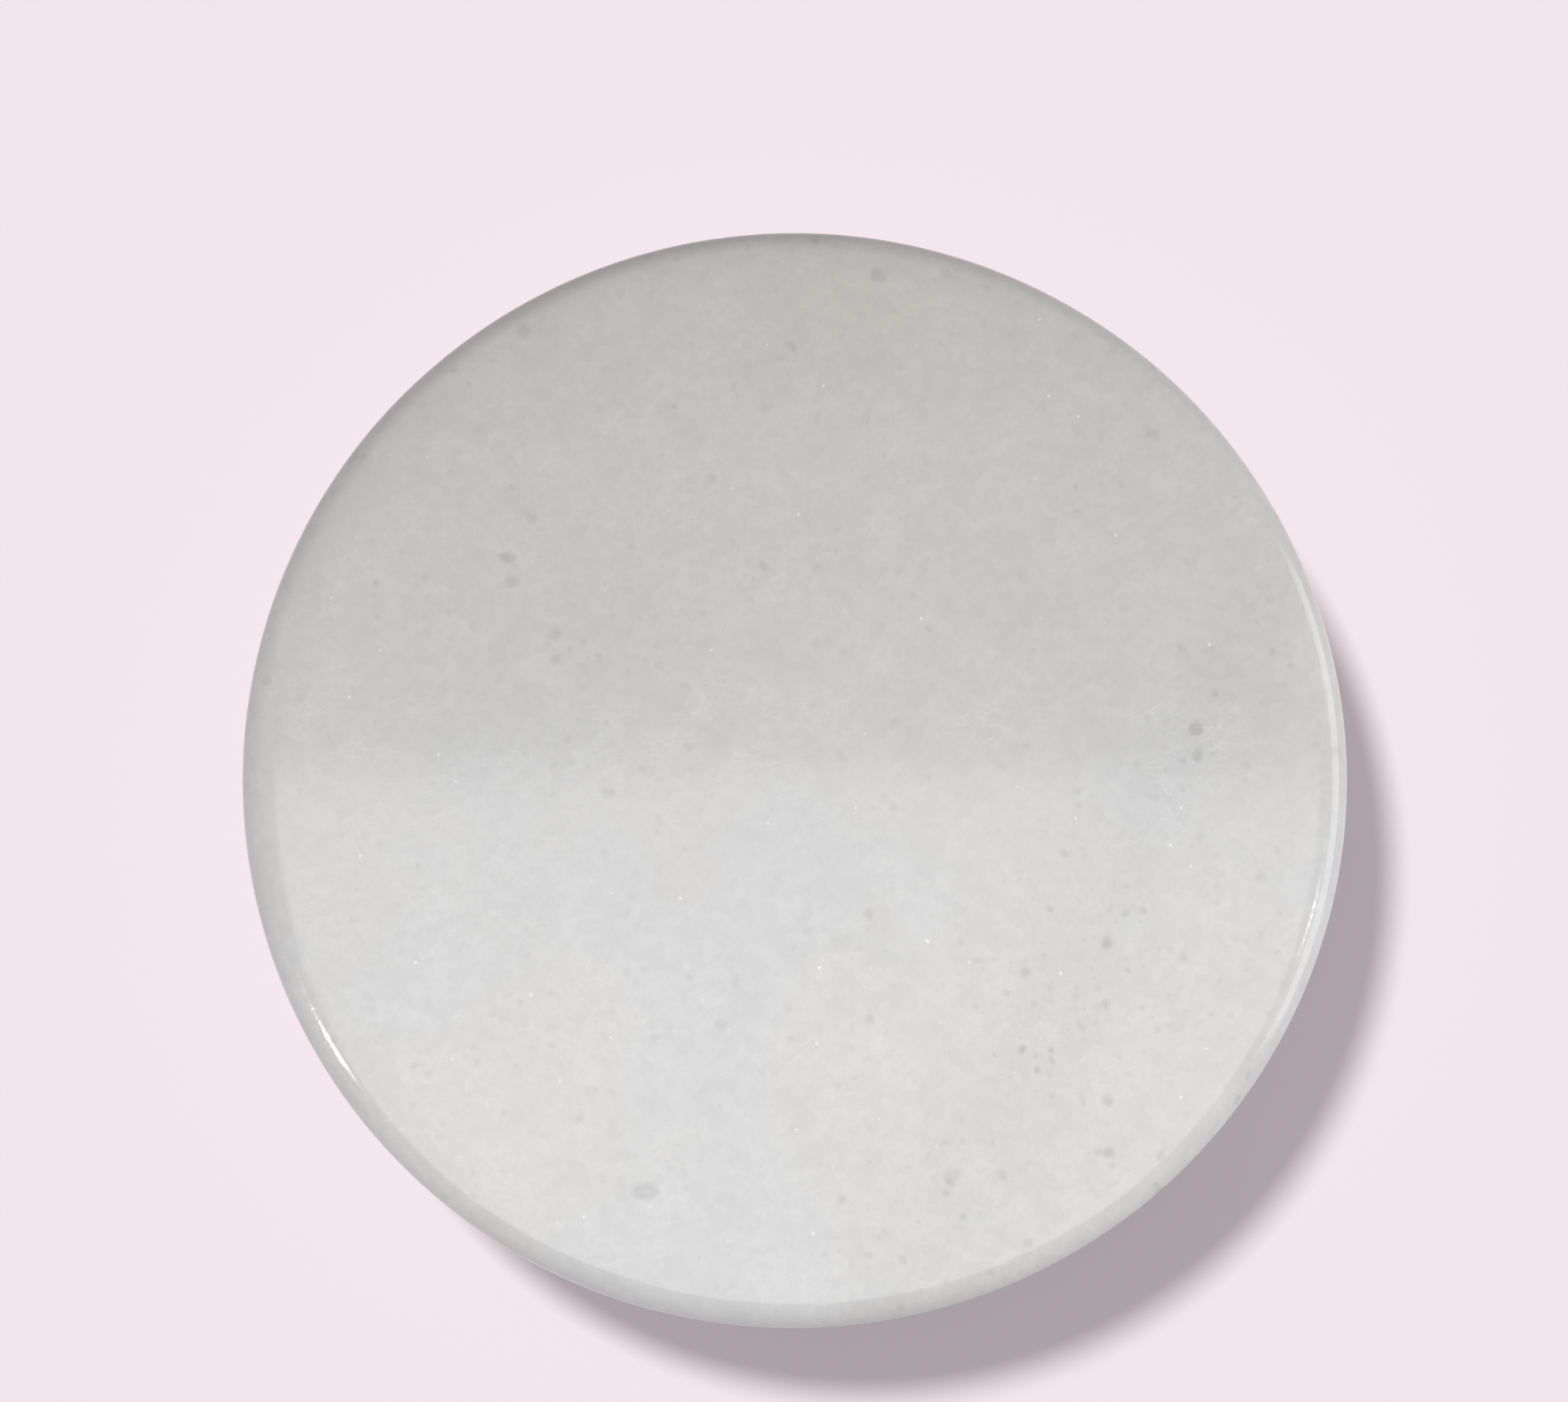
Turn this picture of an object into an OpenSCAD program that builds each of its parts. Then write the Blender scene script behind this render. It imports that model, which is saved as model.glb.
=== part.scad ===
// Round marble rolling board for flatbreads. A thick polished slab stands on three turned
// marble legs. Each leg is set on a resin bed and a steel dowel pin, and stands on a soft
// pad let into its foot. Millimetres, +Z up. The origin is the middle of the plane on which
// the pads stand, and the first leg is towards +Y.

/* [Board] */
// Diameter of the round slab
board_d = 230; // [200:5:300]
// Thickness of the slab
board_t = 19; // [16:1:30]
// Radius of the polished shoulder round the top
shoulder_r = 6; // [4:0.5:8]
// Radius of the slow roll-off that leads from the flat top to the shoulder
roll_off_r = 50; // [30:5:80]
// Slope at which the roll-off runs into the shoulder, in degrees
roll_off_angle = 8; // [5:1:12]
// Radius of the heel, the lower edge of the slab
heel_r = 3; // [1.5:0.5:5]

/* [Legs] */
// Distance from the side of the slab in to the middle of each leg
leg_inset = 37; // [32:1:50]
// Height of a leg, from its foot to its flat top
leg_h = 20; // [18:1:30]
// Largest diameter of a leg, at the middle of its bun
leg_d = 38; // [36:1:44]
// How far the bun swells past its foot
bun_bulge = 4; // [2.5:0.5:5]
// Diameter of the collar above the bun
collar_d = 33; // [31.5:0.5:34]
// Height of the collar, with its half of the cove
collar_h = 4.6; // [4:0.2:6]
// Diameter at the bottom of the cove between the bun and the collar
neck_d = 29; // [28:0.5:30]
// Radius of the cove
cove_r = 1.6; // [1.2:0.1:1.9]
// Radius that breaks the upper edge of the collar
arris_r = 0.8; // [0.4:0.1:1.2]

/* [Resin and pins] */
// Thickness of the resin between a leg and the slab
bed_t = 0.6; // [0.3:0.1:1.2]
// Radius of the resin squeezed out round the collar
bead_r = 1.4; // [0.8:0.1:2]
// Diameter of a dowel pin
pin_d = 5; // [4:0.5:6]
// Depth to which a pin stands in the slab
pin_in_board = 9; // [6:0.5:10]
// Depth to which a pin stands in its leg
pin_in_leg = 10; // [7:0.5:12]
// Chamfer on both ends of a pin
pin_chamfer = 0.5; // [0.2:0.1:0.8]
// Thickness of the resin round a pin
resin_gap = 0.3; // [0.2:0.05:0.5]
// Depth of the resin above the end of a pin
resin_cap = 1; // [0.5:0.1:2]

/* [Pads] */
// Thickness of a pad
pad_t = 2.4; // [1.8:0.1:3.2]
// Depth to which a pad is let into the foot
pad_let_in = 1.2; // [0.8:0.1:1.4]
// Width of the stone left between the edge of the foot and the pad's recess
pad_land = 3.8; // [2.8:0.1:4.8]
// Clearance round a pad in its recess
pad_gap = 0.2; // [0.1:0.05:0.4]
// Radius of the lower edge of a pad
pad_edge_r = 0.6; // [0.3:0.1:0.9]

/* [Hidden] */
$fn = 144;

marble = "#dcdcd8";
resin = "#e6e2cf";
steel = "#b9bcc0";
silicone = "#e4e6e4";

// The legs stand a third of a turn apart
leg_step = 360 / 3;
first_leg = 90;

// What a cutter stands past the surface that it cuts
over = 1;

// Heights, from the plane on which the pads stand
foot_z = pad_t - pad_let_in;
leg_top_z = foot_z + leg_h;
under_z = leg_top_z + bed_t;
pin_z = leg_top_z - pin_in_leg;

// Radii that several pieces share
board_r = board_d / 2;
leg_circle_r = board_r - leg_inset;
collar_r = collar_d / 2;
foot_r = leg_d / 2 - bun_bulge;
recess_r = foot_r - pad_land;
pin_r = pin_d / 2;
drill_r = pin_r + resin_gap;
pin_len = pin_in_leg + bed_t + pin_in_board;
drill_in_board = pin_in_board + resin_cap;

// The bun is one arc, through the edges of its foot and its top and out to leg_d
bun_h = leg_h - collar_h;
bun_arc_r = (pow(bun_h / 2, 2) + pow(bun_bulge, 2)) / (2 * bun_bulge);

// Centre of the shoulder's arc, and where the flat top ends
shoulder_x = board_r - shoulder_r;
flat_r = shoulder_x - (roll_off_r - shoulder_r) * sin(roll_off_angle);
shoulder_z = board_t - roll_off_r + (roll_off_r - shoulder_r) * cos(roll_off_angle);

// What lies outside a quarter circle in the corner of two edges at the origin.
// The material is towards -X and -Y, and the corner is cut back by r.
module corner_cut(r) {
    translate([-r, -r])
        difference() {
            square(r + over);
            circle(r);
        }
}

// Half section of the slab, from its underside at y = 0.
// The flat top falls away along a wide arc, which runs into the round shoulder.
module board_section() {
    difference() {
        square([board_r, board_t]);
        // the roll-off, from the end of the flat top to the start of the shoulder
        difference() {
            translate([flat_r, shoulder_z])
                square([board_r - flat_r + over, board_t - shoulder_z + over]);
            translate([flat_r, board_t - roll_off_r])
                circle(roll_off_r);
        }
        // the shoulder, from the slope of the roll-off to the upright side
        translate([shoulder_x, shoulder_z])
            difference() {
                polygon([
                    [0, 0],
                    [2 * shoulder_r * sin(roll_off_angle), 2 * shoulder_r * cos(roll_off_angle)],
                    [2 * shoulder_r, 2 * shoulder_r * cos(roll_off_angle)],
                    [2 * shoulder_r, 0]
                ]);
                circle(shoulder_r);
            }
        // the heel
        translate([board_r, 0])
            mirror([0, 1])
                corner_cut(heel_r);
    }
}

// Half section of a leg, from its foot at y = 0, without its holes
module leg_section() {
    difference() {
        union() {
            square([foot_r, leg_h]);
            intersection() {
                translate([leg_d / 2 - bun_arc_r, bun_h / 2])
                    circle(bun_arc_r);
                square([leg_d, bun_h]);
            }
            translate([0, bun_h])
                square([collar_r, collar_h]);
        }
        translate([neck_d / 2 + cove_r, bun_h])
            circle(cove_r);
        translate([collar_r, leg_h])
            corner_cut(arris_r);
    }
}

// Half section of a dowel pin, from its lower end at y = 0
module pin_section() {
    polygon([
        [0, 0],
        [pin_r - pin_chamfer, 0],
        [pin_r, pin_chamfer],
        [pin_r, pin_len - pin_chamfer],
        [pin_r - pin_chamfer, pin_len],
        [0, pin_len]
    ]);
}

// Half section of the resin of one leg, from the slab's underside at y = 0.
// It is the bed on the leg, the bead squeezed out round the collar, and the sleeve and cap
// that fill the drilled holes round the pin.
module resin_section() {
    difference() {
        union() {
            translate([0, -bed_t - bead_r])
                square([collar_r + bead_r, bed_t + bead_r]);
            translate([0, -bed_t - pin_in_leg])
                square([drill_r, pin_in_leg + bed_t + drill_in_board]);
        }
        // the hollow face of the bead
        translate([collar_r + bead_r, -bed_t - bead_r])
            circle(bead_r);
        translate([0, -bed_t - leg_h])
            drilled_leg_section();
        translate([0, -bed_t - pin_in_leg])
            pin_section();
    }
}

// The leg's half section with the hole for its pin and the recess for its pad
module drilled_leg_section() {
    difference() {
        leg_section();
        translate([0, leg_h - pin_in_leg])
            square([drill_r, pin_in_leg + over]);
        translate([0, -over])
            square([recess_r, pad_let_in + over]);
    }
}

// Half section of a pad, from the plane on which it stands at y = 0
module pad_section() {
    difference() {
        square([recess_r - pad_gap, pad_t]);
        translate([recess_r - pad_gap, 0])
            mirror([0, 1])
                corner_cut(pad_edge_r);
    }
}

// Moves a piece drawn on the Z axis to the place of leg n
module at_leg(n) {
    rotate(first_leg + (n - 1) * leg_step)
        translate([leg_circle_r, 0])
            children();
}

module rolling_board() {
    color(marble)
        translate([0, 0, under_z])
            difference() {
                rotate_extrude()
                    board_section();
                for (n = [1:3])
                    at_leg(n)
                        translate([0, 0, -over])
                            cylinder(r = drill_r, h = drill_in_board + over);
            }
}

module leg(n) {
    color(marble)
        at_leg(n)
            translate([0, 0, foot_z])
                rotate_extrude()
                    drilled_leg_section();
}

module resin_bed(n) {
    color(resin)
        at_leg(n)
            translate([0, 0, under_z])
                rotate_extrude()
                    resin_section();
}

module dowel_pin(n) {
    color(steel)
        at_leg(n)
            translate([0, 0, pin_z])
                rotate_extrude()
                    pin_section();
}

module floor_pad(n) {
    color(silicone)
        at_leg(n)
            rotate_extrude()
                pad_section();
}

rolling_board();
for (n = [1:3]) {
    leg(n);
    resin_bed(n);
    dowel_pin(n);
    floor_pad(n);
}
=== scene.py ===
"""Finished look of a round marble rolling board on three turned marble legs. Metres, +Z up.

The slab, legs, resin and pads are turned surfaces worked out on grids of angle and section, with the
slight unevenness that hand grinding leaves. The steel pins keep their own solids. The marble is a
procedural stone of soft crystal grains, darker specks, a pale net between grains and slow clouds.
"""

import math

import bpy
import numpy as np
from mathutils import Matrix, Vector


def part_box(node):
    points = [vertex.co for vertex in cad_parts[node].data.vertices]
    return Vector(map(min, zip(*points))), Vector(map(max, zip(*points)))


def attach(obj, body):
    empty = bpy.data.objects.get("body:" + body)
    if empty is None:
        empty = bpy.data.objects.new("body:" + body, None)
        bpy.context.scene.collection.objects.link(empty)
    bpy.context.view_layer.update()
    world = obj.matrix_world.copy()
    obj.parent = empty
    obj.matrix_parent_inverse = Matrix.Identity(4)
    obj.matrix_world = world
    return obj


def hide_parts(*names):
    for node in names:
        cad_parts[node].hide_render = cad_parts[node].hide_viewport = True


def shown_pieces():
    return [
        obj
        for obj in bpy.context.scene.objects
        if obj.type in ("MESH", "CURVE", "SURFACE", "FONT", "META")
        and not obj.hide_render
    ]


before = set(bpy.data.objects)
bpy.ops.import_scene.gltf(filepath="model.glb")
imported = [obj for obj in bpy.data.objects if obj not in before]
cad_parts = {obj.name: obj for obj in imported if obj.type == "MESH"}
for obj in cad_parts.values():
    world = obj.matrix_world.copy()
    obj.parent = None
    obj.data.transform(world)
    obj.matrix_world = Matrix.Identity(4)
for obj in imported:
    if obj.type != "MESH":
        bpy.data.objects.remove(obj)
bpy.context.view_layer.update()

MM = 0.001
LEGS = (1, 2, 3)

# The photograph's frame, and the outline of the board in it, in pixels
PHOTO_W, PHOTO_H = 2035, 1820
BOARD_X, BOARD_Y = 1031.4, 998.7
BOARD_RX = 717.1

# The camera's lean from straight above, its distance from the rim, and the width of its film in mm
CAMERA_TILT = math.radians(7.5)
CAMERA_DISTANCE = 0.7
FILM_WIDTH = 36

# The colour of the backdrop, and the parts of it that the floor glows with and scatters.
# What scatters is lost in the board's shadow, so the two parts set how dark that shadow is.
BACKDROP = (0.8796, 0.7758, 0.8308, 1)
FLOOR_GLOW = 0.38
FLOOR_SCATTER = 1 - FLOOR_GLOW
FLOOR_BOUNCE = (0.55, 0.54, 0.55, 1)
FLOOR_HALF = 4.0

# Light from all round, and the floor's own sun
AMBIENT = 0.12
SUN_ENERGY = 1.03 * math.pi
SUN_ANGLE = math.radians(10)
SUN_DIRECTION = (0.433, -0.433, -1)

# Sizes that the frame gives
slab_low, slab_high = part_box("rolling_board")
leg_low, leg_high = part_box("leg_1")
pad_low, pad_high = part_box("floor_pad_1")
pin_low, pin_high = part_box("dowel_pin_1")
board_r = slab_high.x
top_z, under_z = slab_high.z, slab_low.z
leg_r = (leg_high.x - leg_low.x) / 2
foot_z, leg_top_z = leg_low.z, leg_high.z
pad_r = (pad_high.x - pad_low.x) / 2
pad_top_z = pad_high.z
pin_r = (pin_high.x - pin_low.x) / 2
pin_low_z, pin_high_z = pin_low.z, pin_high.z
cap_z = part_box("resin_bed_1")[1].z

# Sizes of the sections, as the solids have them
shoulder_r = 6 * MM
roll_off_r = 50 * MM
roll_off_slope = math.radians(8)
heel_r = 3 * MM
bun_bulge = 4 * MM
collar_r = 16.5 * MM
collar_h = 4.6 * MM
neck_r = 14.5 * MM
cove_r = 1.6 * MM
arris_r = 0.8 * MM
bead_r = 1.4 * MM
resin_gap = 0.3 * MM
pin_chamfer = 0.5 * MM
pad_gap = 0.2 * MM
pad_edge_r = 0.6 * MM
drill_r = pin_r + resin_gap
recess_r = pad_r + pad_gap

# Softboxes for the board: name, place, point that it faces, width and height, watts, colour, and
# the angle into which it shines, in degrees
WHITE = (1, 1, 1)
DAYLIGHT = (0.95, 0.97, 1)
ALL_ROUND = 180
board_middle = (0, 0, top_z)
SOFTBOXES = (
    ("overhead", (0.01, -0.10, 0.42), (0.01, -0.10, 0), (0.5, 0.3), 0.87, WHITE, 170),
    ("window_right", (0.6, 0.02, 0.24), board_middle, (0.6, 0.3), 1.45, DAYLIGHT, ALL_ROUND),
    ("window_left", (-0.6, -0.26, 0.3), board_middle, (0.3, 0.2), 0.1, DAYLIGHT, ALL_ROUND),
    ("glint_left", (-0.40, -0.178, 0.44), board_middle, (0.03, 0.12), 0.52, WHITE, ALL_ROUND),
    ("glint_right", (0.43, -0.057, 0.44), board_middle, (0.03, 0.10), 0.12, WHITE, ALL_ROUND),
)

# Warm patches in the board's stone: middle and radii in millimetres, and how strong each is
WARM_PATCHES = (
    ((-22, 10, 40), (9, 14, 40), 0.22),
    ((-23, -22, 40), (7, 9, 40), 0.18),
    ((14, 98, 40), (34, 18, 40), 0.16),
)

# Single dark crystals that show on the board's top: middle, radii and darkness
DARK_CRYSTALS = (
    ((-30.4, -86.9, 41), (2.6, 1.9, 3), 0.16),
    ((-15.0, -53.8, 41), (1.5, 1.4, 2), 0.12),
    ((17.7, 104.3, 41), (1.7, 1.8, 3), 0.14),
    ((-58.8, 38.7, 41), (1.6, 1.4, 2), 0.13),
    ((-59.8, 44.0, 41), (1.8, 1.2, 2), 0.12),
    ((82.9, 7.6, 41), (1.4, 2.1, 2), 0.20),
    ((83.4, 2.4, 41), (1.3, 1.6, 2), 0.14),
    ((9.4, -37.3, 41), (2.4, 2.2, 2), 0.06),
    ((32.0, -84.0, 41), (1.9, 2.0, 2), 0.11),
    ((-56.6, 92.4, 41), (1.9, 1.7, 2), 0.10),
)

# Dark specks throughout the stone: spacing in millimetres, width as a share of the spacing, how
# rare they are, and how dark
SPECK_LAYERS = (
    (3.1, 0.30, 0.62, 0.10),
    (5.4, 0.26, 0.74, 0.16),
    (1.7, 0.34, 0.70, 0.06),
)


def straight(start, end, steps):
    """Points of a section from start up to, not including, end, in equal steps."""
    part = np.arange(steps)[:, None] / steps
    return np.array(start) * (1 - part) + np.array(end) * part


def arc(centre, radius, first, last, steps):
    """Points of a section on a circle from angle first up to, not including, last, in degrees."""
    angle = np.radians(first + (last - first) * np.arange(steps) / steps)
    return np.array(centre) + radius * np.stack([np.cos(angle), np.sin(angle)], axis=1)


def ripple(turn, along, waves, seed):
    """Unevenness between -1 and 1: a sum of cosines, each with a whole number of waves round the
    piece. Each drifts along the section at its own rate in waves per metre, and swells and fades
    with a beat of its own."""
    draw = np.random.default_rng(seed)
    beat = 2.3
    total = np.zeros(np.broadcast(turn, along).shape)
    for count, rate in waves:
        phase, lag = draw.uniform(0, 2 * np.pi, 2)
        wave = np.cos(count * turn + 2 * np.pi * rate * along + phase)
        total += wave * np.cos(rate * along * beat + lag)
    return total / len(waves)


def revolve(section, columns, middle=(0.0, 0.0), swell=None):
    """Grid of points of a section of (radius, height) turned about an upright axis through middle.
    swell(turn, radius, height) gives what each point moves out by, and up by. It dies away close to
    the axis, so the ends stay closed."""
    turn = np.arange(columns)[None, :] * 2 * np.pi / columns
    radius = np.repeat(section[:, :1], columns, axis=1)
    height = np.repeat(section[:, 1:], columns, axis=1)
    if swell is not None:
        out, up = swell(turn, radius, height)
        fade = np.clip(radius / (2 * MM), 0, 1)
        radius, height = radius + out * fade, height + up * fade
    x = middle[0] + radius * np.cos(turn)
    y = middle[1] + radius * np.sin(turn)
    return np.stack([x, y, height], axis=-1)


def turned_piece(name, grid, finish, sharp=40):
    """A closed piece from a grid whose rows run along the section from pole to pole and whose columns
    run once round. The first and the last row lie on the axis and become one point each. Edges
    that turn by more than sharp degrees stay crisp."""
    rows, columns = grid.shape[:2]
    points = np.concatenate([grid[0, :1], grid[1:-1].reshape(-1, 3), grid[-1, :1]])
    ring = 1 + np.arange((rows - 2) * columns).reshape(rows - 2, columns)
    beside = np.roll(ring, -1, axis=1)
    quads = np.stack([ring[:-1], ring[1:], beside[1:], beside[:-1]], axis=-1).reshape(-1, 4)
    first = np.stack([np.zeros(columns, int), ring[0], beside[0]], axis=-1)
    last = np.stack([np.full(columns, len(points) - 1), beside[-1], ring[-1]], axis=-1)
    mesh = bpy.data.meshes.new(name)
    mesh.from_pydata(points.tolist(), [], first.tolist() + quads.tolist() + last.tolist())
    mesh.shade_smooth()
    mesh.set_sharp_from_angle(angle=math.radians(sharp))
    mesh.materials.append(finish)
    piece = bpy.data.objects.new(name, mesh)
    bpy.context.collection.objects.link(piece)
    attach(piece, "root")
    return piece


class Socket:
    """A number, colour, vector or shader that leaves a node. Sums of numbers add Math nodes."""

    def __init__(self, nodes, source, output):
        self.nodes = nodes
        self.source = source
        self.output = output

    def math(self, operation, first, second):
        return self.nodes.node("ShaderNodeMath", {"operation": operation}, {0: first, 1: second})

    def __add__(self, other):
        return self.math("ADD", self, other)

    def __radd__(self, other):
        return self.math("ADD", other, self)

    def __sub__(self, other):
        return self.math("SUBTRACT", self, other)

    def __rsub__(self, other):
        return self.math("SUBTRACT", other, self)

    def __mul__(self, other):
        return self.math("MULTIPLY", self, other)

    def __rmul__(self, other):
        return self.math("MULTIPLY", other, self)

    def __truediv__(self, other):
        return self.math("DIVIDE", self, other)

    def __rtruediv__(self, other):
        return self.math("DIVIDE", other, self)


class Nodes:
    """The nodes of a material or of the world."""

    def __init__(self, tree):
        self.tree = tree
        self.tree.nodes.clear()

    def fill(self, sockets, key, value):
        """Gives one of a node's sockets a value, or a link from another node."""
        if isinstance(value, Socket):
            self.tree.links.new(value.source.outputs[value.output], sockets[key])
        else:
            sockets[key].default_value = value

    def node(self, kind, settings, inputs, output=0):
        """Adds a node of a kind: its settings are set first, then its sockets' values or links."""
        made = self.tree.nodes.new(kind)
        for key, value in settings.items():
            setattr(made, key, value)
        for key, value in inputs.items():
            self.fill(made.inputs, key, value)
        return Socket(self, made, output)

    def shown(self):
        """1 for rays that show a thing straight, in a reflection or through glass, else 0."""
        camera = self.node("ShaderNodeLightPath", {}, {}, "Is Camera Ray")
        glossy = self.node("ShaderNodeLightPath", {}, {}, "Is Glossy Ray")
        through = self.node("ShaderNodeLightPath", {}, {}, "Is Transmission Ray")
        either = camera.math("MAXIMUM", camera, glossy)
        return either.math("MAXIMUM", either, through)

    def choose(self, factor, first, second):
        """The first shader where factor is 0, and the second where it is 1."""
        return self.node("ShaderNodeMixShader", {}, {0: factor, 1: first, 2: second})


class Finish(Nodes):
    """A material and its nodes. Places are in millimetres of the piece's own frame."""

    def __init__(self, name, **constants):
        self.material = bpy.data.materials.new(name)
        self.material.use_nodes = True
        super().__init__(self.material.node_tree)
        sockets = {key.replace("_", " "): value for key, value in constants.items()}
        shader = self.node("ShaderNodeBsdfPrincipled", {}, sockets)
        self.node("ShaderNodeOutputMaterial", {}, {"Surface": shader})
        self.shader = shader.source
        spot = self.node("ShaderNodeTexCoord", {}, {}, "Object")
        self.place = self.node("ShaderNodeVectorMath", {"operation": "SCALE"}, {0: spot, "Scale": 1 / MM})

    def feed(self, **values):
        """Links values to the shader's own sockets, named with _ for a space."""
        for key, value in values.items():
            self.fill(self.shader.inputs, key.replace("_", " "), value)

    def vector(self, operation, first, second):
        return self.node("ShaderNodeVectorMath", {"operation": operation}, {0: first, 1: second})

    def tinted(self, colour, tone):
        """A colour brightened or darkened by a number, or a vector made longer or shorter."""
        return self.node("ShaderNodeVectorMath", {"operation": "SCALE"}, {0: colour, "Scale": tone})

    def noise(self, place, size, detail=2.0, roughness=0.5, output=0):
        """Soft noise between 0 and 1 whose features are about size millimetres across."""
        inputs = {"Vector": place, "Scale": 1 / size, "Detail": detail, "Roughness": roughness}
        return self.node("ShaderNodeTexNoise", {}, inputs, output)

    def cells(self, place, size, feature="F1", output="Distance", **inputs):
        """Crystal cells about size millimetres across."""
        sockets = {"Vector": place, "Scale": 1 / size, **inputs}
        return self.node("ShaderNodeTexVoronoi", {"feature": feature}, sockets, output)

    def channel(self, colour, name):
        return self.node("ShaderNodeSeparateColor", {}, {0: colour}, name)

    def axis(self, place, name):
        return self.node("ShaderNodeSeparateXYZ", {}, {0: place}, name)

    def step(self, value, low, high, bottom=0.0, top=1.0):
        """Eases from bottom where value is low to top where it is high."""
        inputs = {"Value": value, "From Min": low, "From Max": high, "To Min": bottom, "To Max": top}
        return self.node("ShaderNodeMapRange", {"interpolation_type": "SMOOTHSTEP"}, inputs)

    def fade(self, value, low, high):
        """1 where value is low, easing to 0 where it is high."""
        return self.step(value, low, high, 1.0, 0.0)

    def blend(self, factor, first, second):
        """Mix of two colours."""
        return self.node("ShaderNodeMix", {"data_type": "RGBA"}, {0: factor, 6: first, 7: second}, 2)

    def bump(self, height, depth):
        """Normal of a relief whose full height is depth, in metres."""
        return self.node("ShaderNodeBump", {}, {"Strength": 1.0, "Distance": depth, "Height": height})

    def ball(self, place, middle, radii, ragged=0.25):
        """Soft spot: 1 in the middle, 0 at its radii, in millimetres, with a ragged edge."""
        away = self.vector("DIVIDE", self.vector("SUBTRACT", place, middle), radii)
        far = self.node("ShaderNodeVectorMath", {"operation": "LENGTH"}, {0: away}, "Value")
        return self.fade(far, 1 - ragged * 2, 1 + ragged)


def marble(name, shift, polish, board=False):
    """White marble: soft crystal grains, darker specks, a pale net between grains, and slow clouds.
    The board's own stone also has its grey drift, its warm patches and its single dark crystals."""
    soak = {"Subsurface_Weight": 0.12, "Subsurface_Scale": 2 * MM, "Subsurface_Radius": (1.0, 0.9, 0.8)}
    stone = Finish(name, IOR=1.5, **soak)
    place = stone.vector("ADD", stone.place, shift)
    bend = stone.vector("SUBTRACT", stone.noise(place, 5.0, 1.0, output="Color"), (0.5, 0.5, 0.5))
    warped = stone.vector("ADD", place, stone.tinted(bend, 2.4))

    cloud = stone.noise(place, 46.0, 3.0)
    mottle = stone.noise(place, 9.0)
    grit = stone.noise(place, 0.9)
    dense = stone.step(stone.noise(place, 30.0), 0.38, 0.62)
    tone = 0.93 + 0.08 * cloud + 0.05 * mottle + 0.035 * grit

    grain = stone.cells(warped, 2.2, "SMOOTH_F1", "Color", Smoothness=0.45)
    tone = tone + 0.055 * (stone.channel(grain, "Red") - 0.5)
    edge = stone.cells(warped, 2.6, "DISTANCE_TO_EDGE")
    net = stone.fade(edge, 0.02, 0.16) * stone.step(mottle, 0.35, 0.7)
    tone = tone + 0.03 * net

    if board:
        across, along = stone.axis(warped, "X"), stone.axis(warped, "Y")
        # the grey drift runs from the right side down to the near side
        off = (across - 71.0 - 0.52 * (along + 16.0)) / (8.0 + 8.0 * cloud)
        drift = 1 / (1 + off * off)
        drift = drift * stone.fade(along, 10.0, 75.0)
        near_right = stone.step(across, 10.0, 60.0) * stone.fade(along, -40.0, 10.0)
        dense = dense * 0.55 + 0.6 * drift + 0.45 * near_right
        tone = tone - 0.05 * drift
    for number, (size, width, rare, dark) in enumerate(SPECK_LAYERS):
        spot = stone.vector("ADD", warped, (17.0 * number, 5.0 * number, 11.0 * number))
        pick = stone.cells(spot, size, "F1", "Color")
        speck = stone.fade(stone.cells(spot, size), width * 0.35, width * 1.25)
        chosen = stone.step(stone.channel(pick, "Red"), rare, 1.0)
        tone = tone - dark * speck * chosen * (0.35 + dense)

    warm = stone.step(stone.noise(place, 60.0), 0.35, 0.65)
    colour = stone.blend(warm, (0.745, 0.745, 0.748, 1), (0.752, 0.742, 0.725, 1))
    if board:
        # the stone turns warmer and a little darker towards the far side: partly its own tone, partly
        # painted shade
        far = stone.step(along, -60.0, 112.0)
        colour = stone.blend(far, colour, (0.75, 0.738, 0.705, 1))
        for middle, radii, depth in WARM_PATCHES:
            patch = stone.ball(warped, middle, radii, 0.45)
            colour = stone.blend(patch * depth, colour, (0.76, 0.70, 0.63, 1))
        for middle, radii, depth in DARK_CRYSTALS:
            tone = tone - stone.ball(warped, middle, radii) * depth
    # painted glints: a few single crystals made brighter in the colour, standing in for flashes of light off
    # their faces
    glint = stone.cells(place, 1.1, "F1", "Color")
    chosen = stone.step(stone.channel(glint, "Green"), 0.9965, 0.9985)
    tone = tone + 0.28 * chosen * stone.fade(stone.cells(place, 1.1), 0.2, 0.45)
    rough = polish + 0.05 * mottle + 0.05 * net
    relief = stone.bump(grit * 0.2 + mottle + net, 0.008 * MM)
    stone.feed(Base_Color=stone.tinted(colour, tone), Roughness=rough, Normal=relief)
    return stone.material


def resin():
    """Set stone resin: milky ivory, with fine bubbles and a skin that dried a little unevenly."""
    glue = Finish("resin", IOR=1.52, Subsurface_Weight=0.3, Subsurface_Scale=1.5 * MM)
    milk = glue.noise(glue.place, 4.0, 3.0)
    bubble = glue.fade(glue.cells(glue.place, 1.1), 0.10, 0.22)
    colour = glue.blend(milk, (0.74, 0.71, 0.60, 1), (0.80, 0.78, 0.69, 1))
    relief = glue.bump(milk - 0.5 * bubble, 0.05 * MM)
    glue.feed(Base_Color=glue.tinted(colour, 1 - 0.12 * bubble), Roughness=0.22 + 0.25 * milk, Normal=relief)
    return glue.material


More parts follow.
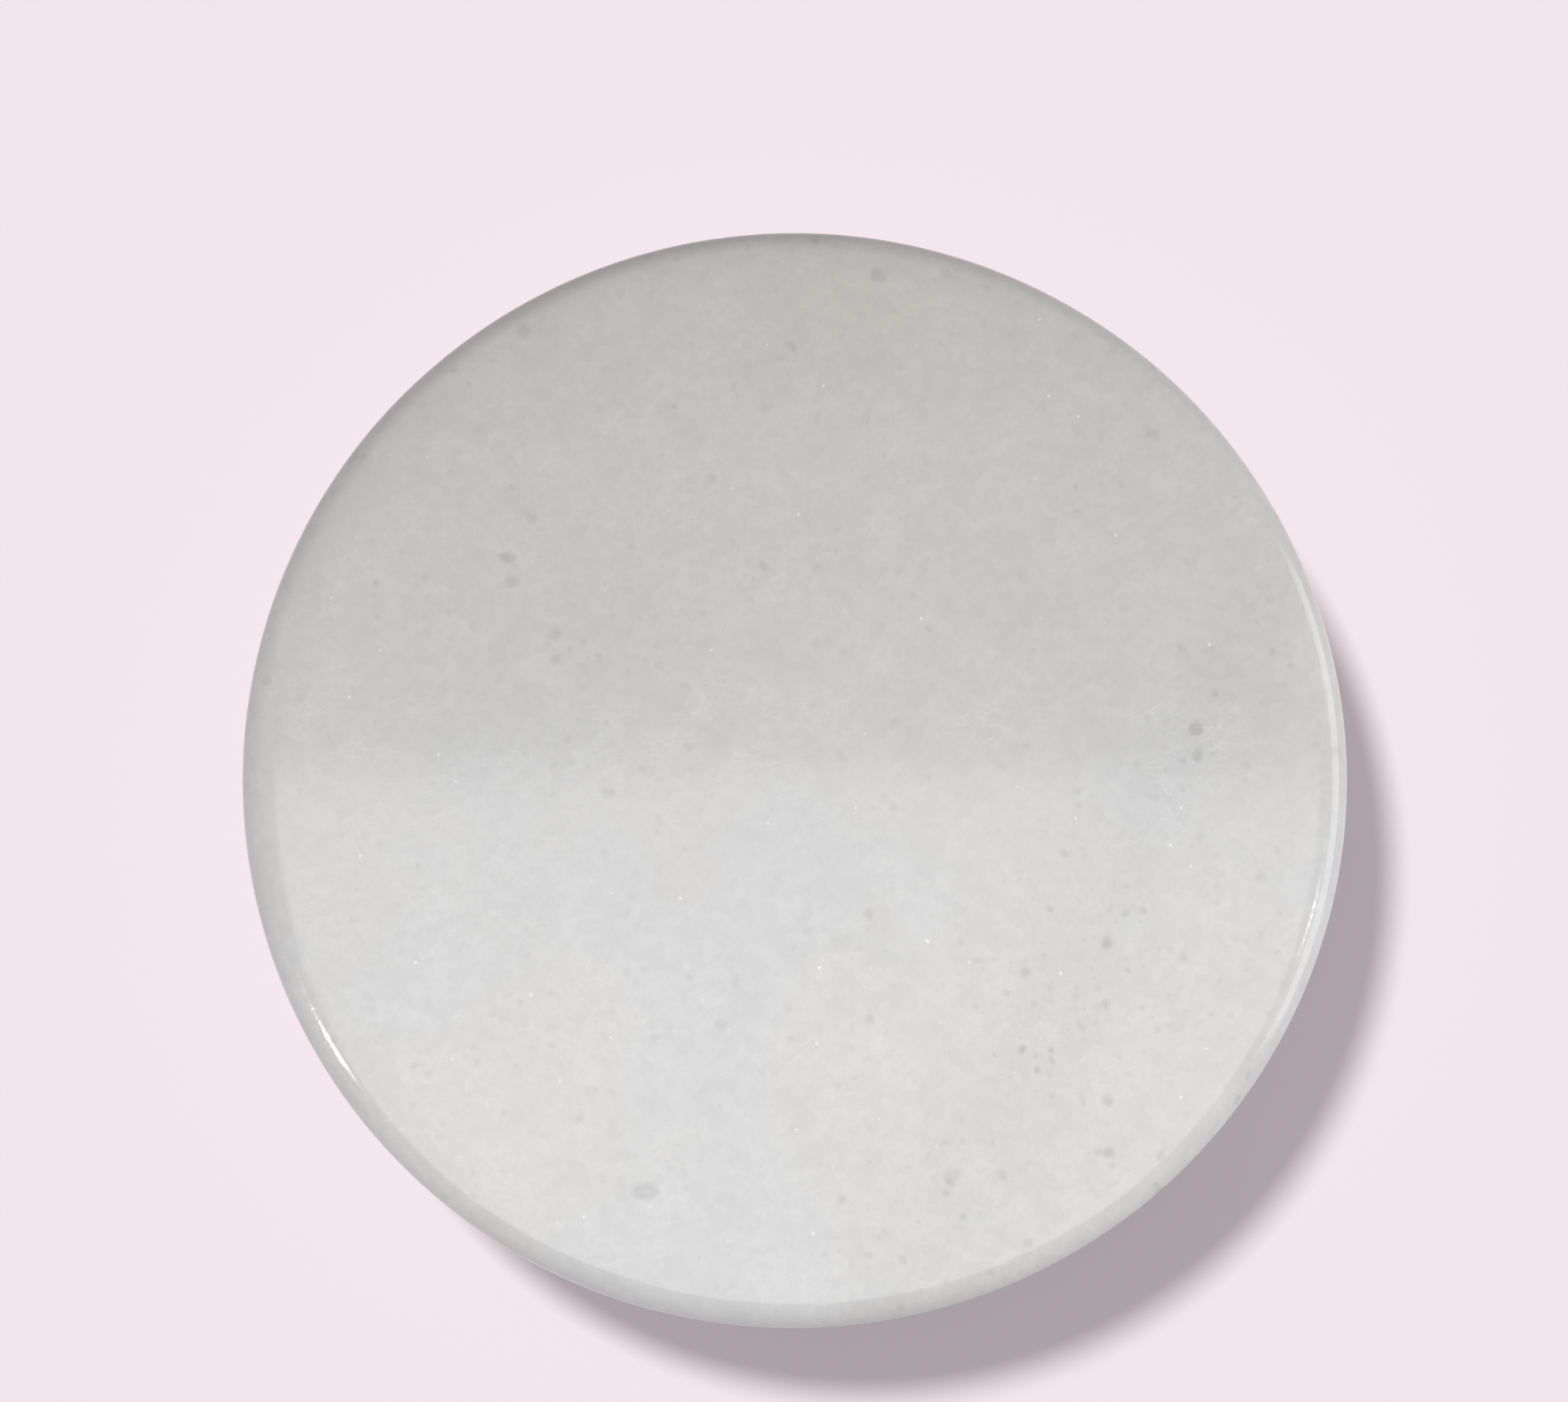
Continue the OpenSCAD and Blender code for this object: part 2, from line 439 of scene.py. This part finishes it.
def silicone():
    """Milky silicone with a fine matt moulding texture and a little dust."""
    soft = Finish("silicone", IOR=1.41, Subsurface_Weight=0.4, Subsurface_Scale=2 * MM)
    dust = soft.noise(soft.place, 3.0, 4.0, 0.65)
    grain = soft.noise(soft.place, 0.25, 1.0)
    colour = soft.blend(dust, (0.72, 0.73, 0.72, 1), (0.78, 0.79, 0.78, 1))
    soft.feed(Base_Color=colour, Roughness=0.45 + 0.2 * dust, Normal=soft.bump(grain, 0.02 * MM))
    return soft.material


def drawn_steel():
    """Stainless rod with fine lines along its length, from drawing, and a trace of resin."""
    steel = Finish("drawn_steel", Metallic=1.0)
    lines = steel.noise(steel.vector("MULTIPLY", steel.place, (1, 1, 0.04)), 0.18, 3.0, 0.6)
    stain = steel.noise(steel.place, 3.5, 3.0)
    colour = steel.blend(stain, (0.58, 0.58, 0.59, 1), (0.66, 0.66, 0.66, 1))
    steel.feed(Base_Color=colour, Roughness=0.25 + 0.2 * lines, Normal=steel.bump(lines, 0.01 * MM))
    return steel.material


def slab_section():
    """Section of the slab from the middle of its top round the rim to the middle of its underside."""
    shoulder_x = board_r - shoulder_r
    flat_r = shoulder_x - (roll_off_r - shoulder_r) * math.sin(roll_off_slope)
    shoulder_z = top_z - roll_off_r + (roll_off_r - shoulder_r) * math.cos(roll_off_slope)
    slope = 90 - math.degrees(roll_off_slope)
    return np.concatenate([
        straight((0, top_z), (flat_r, top_z), 30),
        arc((flat_r, top_z - roll_off_r), roll_off_r, 90, slope, 8),
        arc((shoulder_x, shoulder_z), shoulder_r, slope, 0, 26),
        straight((board_r, shoulder_z), (board_r, under_z + heel_r), 6),
        arc((board_r - heel_r, under_z + heel_r), heel_r, 0, -90, 9),
        straight((board_r - heel_r, under_z), (0, under_z), 20),
        [(0, under_z)],
    ])


def slab_swell(turn, radius, height):
    """Hand grinding: the rim lies in by up to two tenths of a millimetre, in long waves and short
    facets, and the faces are flat to a few hundredths."""
    rim = np.clip((radius - board_r + 2 * shoulder_r) / shoulder_r, 0, 1)
    across = height * 0.6 + radius
    long_waves = ripple(turn, across, ((3, 0), (7, 20), (11, 0), (19, 60)), 4)
    facets = ripple(turn, across, ((46, 260), (71, 420), (97, 310), (133, 520)), 9)
    out = -rim * MM * (0.1 + 0.055 * long_waves + 0.016 * facets)
    flat = ripple(turn, radius, ((2, 14), (3, 22), (5, 31), (8, 40)), 12)
    up = -MM * (0.02 + 0.012 * flat) * np.sign(height - (top_z + under_z) / 2) * (1 - rim)
    return out, up


def leg_section():
    """Section of a leg from the floor of its pin hole, over the top, collar, cove and bun, to the
    ceiling of the pad's recess."""
    foot_r = leg_r - bun_bulge
    bun_h = leg_top_z - foot_z - collar_h
    bun_arc_r = ((bun_h / 2) ** 2 + bun_bulge ** 2) / (2 * bun_bulge)
    bun_x, bun_z = leg_r - bun_arc_r, foot_z + bun_h / 2
    cove_x, cove_z = neck_r + cove_r, foot_z + bun_h
    cove_start = math.degrees(math.acos((collar_r - cove_x) / cove_r))
    collar_z = cove_z + cove_r * math.sin(math.radians(cove_start))
    bun_end = math.degrees(math.asin((bun_h / 2) / bun_arc_r))
    # where the cove runs out on the bun, as an angle of each arc
    cove_stop, bun_start = 226, bun_end - 4
    return np.concatenate([
        straight((0, pin_low_z), (drill_r, pin_low_z), 3),
        straight((drill_r, pin_low_z), (drill_r, leg_top_z), 8),
        straight((drill_r, leg_top_z), (collar_r - arris_r, leg_top_z), 6),
        arc((collar_r - arris_r, leg_top_z - arris_r), arris_r, 90, 0, 7),
        straight((collar_r, leg_top_z - arris_r), (collar_r, collar_z), 5),
        arc((cove_x, cove_z), cove_r, cove_start, cove_stop, 14),
        arc((bun_x, bun_z), bun_arc_r, bun_start, -bun_end, 34),
        straight((foot_r, foot_z), (recess_r, foot_z), 4),
        straight((recess_r, foot_z), (recess_r, pad_top_z), 4),
        straight((recess_r, pad_top_z), (0, pad_top_z), 4),
        [(0, pad_top_z)],
    ])


def resin_section():
    """Section of a leg's resin: the cap and sleeve round the pin, the bed, and the hollow bead."""
    bead_z = leg_top_z - bead_r
    return np.concatenate([
        straight((0, cap_z), (drill_r, cap_z), 3),
        straight((drill_r, cap_z), (drill_r, under_z), 6),
        straight((drill_r, under_z), (collar_r + bead_r, under_z), 6),
        arc((collar_r + bead_r, bead_z), bead_r, 90, 180, 9),
        straight((collar_r, bead_z), (collar_r, leg_top_z - arris_r), 3),
        arc((collar_r - arris_r, leg_top_z - arris_r), arris_r, 0, 90, 5),
        straight((collar_r - arris_r, leg_top_z), (drill_r, leg_top_z), 4),
        straight((drill_r, leg_top_z), (drill_r, pin_low_z), 6),
        straight((drill_r, pin_low_z), (pin_r - pin_chamfer, pin_low_z), 2),
        straight((pin_r - pin_chamfer, pin_low_z), (pin_r, pin_low_z + pin_chamfer), 2),
        straight((pin_r, pin_low_z + pin_chamfer), (pin_r, pin_high_z - pin_chamfer), 8),
        straight((pin_r, pin_high_z - pin_chamfer), (pin_r - pin_chamfer, pin_high_z), 2),
        straight((pin_r - pin_chamfer, pin_high_z), (0, pin_high_z), 2),
        [(0, pin_high_z)],
    ])


def pad_section():
    """Section of a pad from the middle of its top to the middle of its underside."""
    return np.concatenate([
        straight((0, pad_top_z), (pad_r, pad_top_z), 5),
        straight((pad_r, pad_top_z), (pad_r, pad_edge_r), 5),
        arc((pad_r - pad_edge_r, pad_edge_r), pad_edge_r, 0, -90, 7),
        straight((pad_r - pad_edge_r, 0), (0, 0), 6),
        [(0, 0)],
    ])


def leg_middle(number):
    """Middle of a leg, from its pad's box at rest."""
    low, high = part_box(f"floor_pad_{number}")
    return (low.x + high.x) / 2, (low.y + high.y) / 2


def make_board():
    stone = marble("board_marble", (0, 0, 0), 0.09, board=True)
    slab = turned_piece("slab", revolve(slab_section(), 960, swell=slab_swell), stone)
    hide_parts("rolling_board")


def make_leg(number, glue, soft, steel):
    """A leg with its resin and pad, each turned about the leg's own middle, and a finish for its pin."""
    middle = leg_middle(number)

    def hand_turned(turn, radius, height):
        skin = np.clip((radius - recess_r) / MM, 0, 1)
        waves = ripple(turn, height, ((2, 30), (3, 60), (5, 90)), 20 + number)
        return -skin * MM * (0.06 + 0.05 * waves), np.zeros(radius.shape)

    def squeezed(turn, radius, height):
        skin = np.clip((radius - collar_r) / bead_r, 0, 1)
        waves = ripple(turn, height, ((2, 0), (5, 0), (9, 100), (14, 0)), 40 + number)
        return -skin * bead_r * (0.25 + 0.25 * waves), np.zeros(radius.shape)

    # each leg is cut from another part of the stone
    stone = marble(f"leg_marble_{number}", (60.0 * number, 35.0, 20.0 * number), 0.12)
    parts = (
        ("turned_leg", "leg", leg_section(), 240, hand_turned, stone, "leg_marble"),
        ("resin_bead", "resin_bed", resin_section(), 180, squeezed, glue, "resin"),
        ("soft_pad", "floor_pad", pad_section(), 120, None, soft, "pad_silicone"),
    )
    for name, node, section, columns, swell, finish, slot in parts:
        piece = turned_piece(f"{name}_{number}", revolve(section, columns, middle, swell), finish)
        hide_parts(f"{node}_{number}")
    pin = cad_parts[f"dowel_pin_{number}"]
    pin.data.materials.clear()
    pin.data.materials.append(steel)


def camera():
    """Looks down at the photograph's angle, with the board where the photograph has it."""
    data = bpy.data.cameras.new("camera")
    data.sensor_width = FILM_WIDTH
    data.lens = BOARD_RX / PHOTO_W * FILM_WIDTH * CAMERA_DISTANCE / board_r
    data.shift_x = (PHOTO_W / 2 - BOARD_X) / PHOTO_W
    data.shift_y = (BOARD_Y - PHOTO_H / 2) / PHOTO_W
    data.clip_start = 0.01
    data.clip_end = 20
    eye = bpy.data.objects.new("camera", data)
    back = Vector((0, -math.sin(CAMERA_TILT), math.cos(CAMERA_TILT)))
    eye.location = Vector((0, 0, top_z - shoulder_r)) + back * CAMERA_DISTANCE
    eye.rotation_euler = (CAMERA_TILT, 0, 0)
    bpy.context.collection.objects.link(eye)
    bpy.context.scene.camera = eye


def softbox(name, place, aim, size, watts, colour, spread, lit):
    """A lamp at a place, turned to face a point. It lights the collection lit and nothing else."""
    data = bpy.data.lights.new(name, "AREA")
    data.shape = "RECTANGLE"
    data.size, data.size_y = size
    data.energy = watts
    data.color = colour
    data.spread = math.radians(spread)
    light = bpy.data.objects.new(name, data)
    light.location = place
    light.rotation_euler = (Vector(aim) - Vector(place)).to_track_quat("-Z", "Y").to_euler()
    light.visible_camera = False
    light.light_linking.receiver_collection = lit
    bpy.context.collection.objects.link(light)


def paper():
    """The floor's finish. Rays that show it see the backdrop's colour, part glow and part scatter,
    and other rays see a plain pale floor. It is clear from below, so the underside can be seen."""
    finish = bpy.data.materials.new("paper")
    finish.use_nodes = True
    nodes = Nodes(finish.node_tree)
    scatter = tuple(FLOOR_SCATTER * part for part in BACKDROP[:3]) + (1,)
    soft = nodes.node("ShaderNodeBsdfDiffuse", {}, {"Color": scatter})
    glow = nodes.node("ShaderNodeEmission", {}, {"Color": BACKDROP, "Strength": FLOOR_GLOW})
    seen = nodes.node("ShaderNodeAddShader", {}, {0: soft, 1: glow})
    unseen = nodes.node("ShaderNodeBsdfDiffuse", {}, {"Color": FLOOR_BOUNCE})
    above = nodes.choose(nodes.shown(), unseen, seen)
    clear = nodes.node("ShaderNodeBsdfTransparent", {}, {})
    below = nodes.node("ShaderNodeNewGeometry", {}, {}, "Backfacing")
    nodes.node("ShaderNodeOutputMaterial", {}, {"Surface": nodes.choose(below, above, clear)})
    return finish


def backdrop():
    """The world: the backdrop's colour for rays that show it, and a weak white light for the rest."""
    world = bpy.data.worlds.new("world")
    bpy.context.scene.world = world
    world.use_nodes = True
    nodes = Nodes(world.node_tree)
    air = nodes.node("ShaderNodeBackground", {}, {"Color": (1, 1, 1, 1), "Strength": AMBIENT})
    drop = nodes.node("ShaderNodeBackground", {}, {"Color": BACKDROP})
    nodes.node("ShaderNodeOutputWorld", {}, {"Surface": nodes.choose(nodes.shown(), air, drop)})


def studio():
    """A pale pink floor with its own sun for the shadow, and softboxes for the board alone."""
    lit = bpy.data.collections.new("lit")
    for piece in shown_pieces():
        lit.objects.link(piece)
    corners = [(-FLOOR_HALF, -FLOOR_HALF, 0), (FLOOR_HALF, -FLOOR_HALF, 0)]
    corners += [(FLOOR_HALF, FLOOR_HALF, 0), (-FLOOR_HALF, FLOOR_HALF, 0)]
    mesh = bpy.data.meshes.new("floor")
    mesh.from_pydata(corners, [], [(0, 1, 2, 3)])
    mesh.materials.append(paper())
    floor = bpy.data.objects.new("floor", mesh)
    bpy.context.collection.objects.link(floor)

    sun_data = bpy.data.lights.new("floor_sun", "SUN")
    sun_data.energy = SUN_ENERGY
    sun_data.angle = SUN_ANGLE
    sun = bpy.data.objects.new("floor_sun", sun_data)
    sun.rotation_euler = Vector(SUN_DIRECTION).to_track_quat("-Z", "Y").to_euler()
    bpy.context.collection.objects.link(sun)
    ground = bpy.data.collections.new("ground")
    ground.objects.link(floor)
    sun.light_linking.receiver_collection = ground
    for settings in SOFTBOXES:
        softbox(*settings, lit)


make_board()
glue, soft, steel = resin(), silicone(), drawn_steel()
for number in LEGS:
    make_leg(number, glue, soft, steel)
studio()
backdrop()
camera()

scene = bpy.context.scene
scene.view_settings.view_transform = "Standard"
